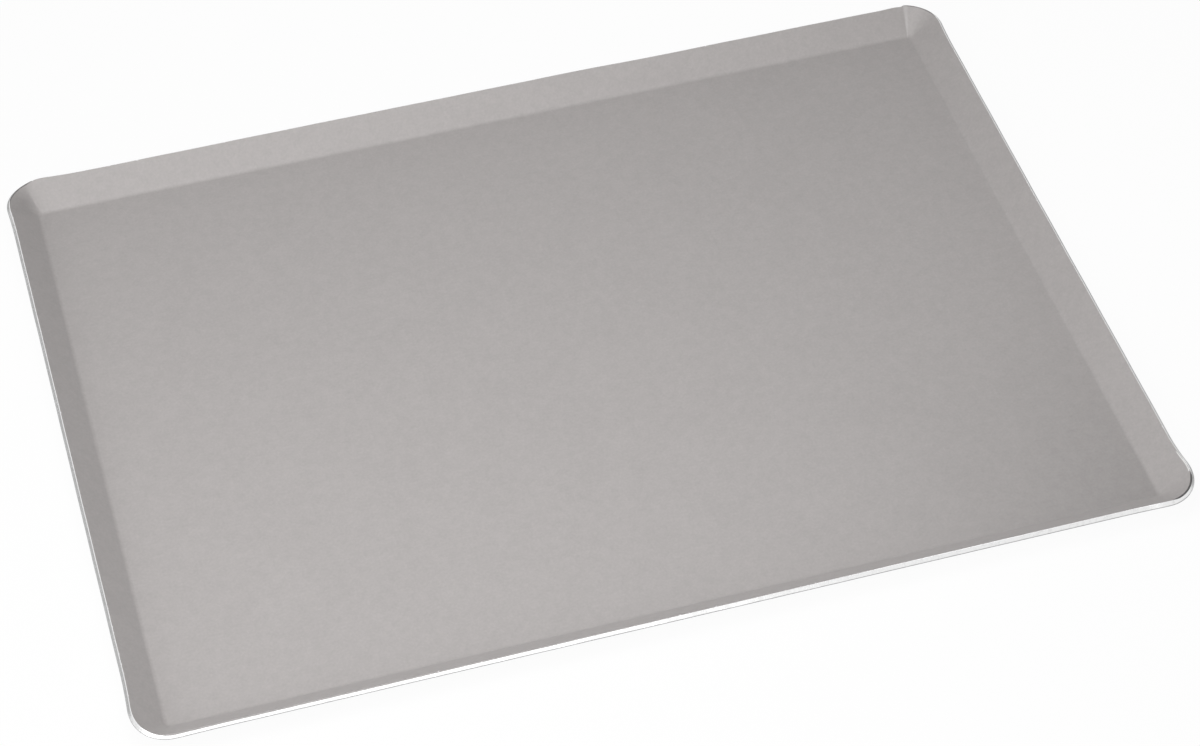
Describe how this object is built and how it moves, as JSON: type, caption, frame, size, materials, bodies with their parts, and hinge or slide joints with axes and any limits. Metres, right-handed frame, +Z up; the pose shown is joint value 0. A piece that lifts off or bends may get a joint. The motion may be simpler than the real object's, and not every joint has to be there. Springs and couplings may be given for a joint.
{
  "type": "cookie sheet",
  "caption": "Flat rectangular baking tray: pressed aluminium sheet with a low flared wall, rounded corners, bare cut edge and a grey non-stick film inside.",
  "frame": {"origin": "middle of the underside, on the surface that the tray stands on", "axes": "+X along the tray's length, +Y across it towards the back long wall, +Z up, out of the open side"},
  "size_m": [0.4012, 0.3012, 0.012],
  "materials": {
    "bare_aluminium": "rolled sheet, sheared bright at the cut edge",
    "nonstick_film": "matte warm grey baked fluoropolymer film"
  },
  "bodies": {
    "root": {"pressed_sheet": "bare_aluminium", "nonstick_coating": "nonstick_film"}
  },
  "joints": []
}
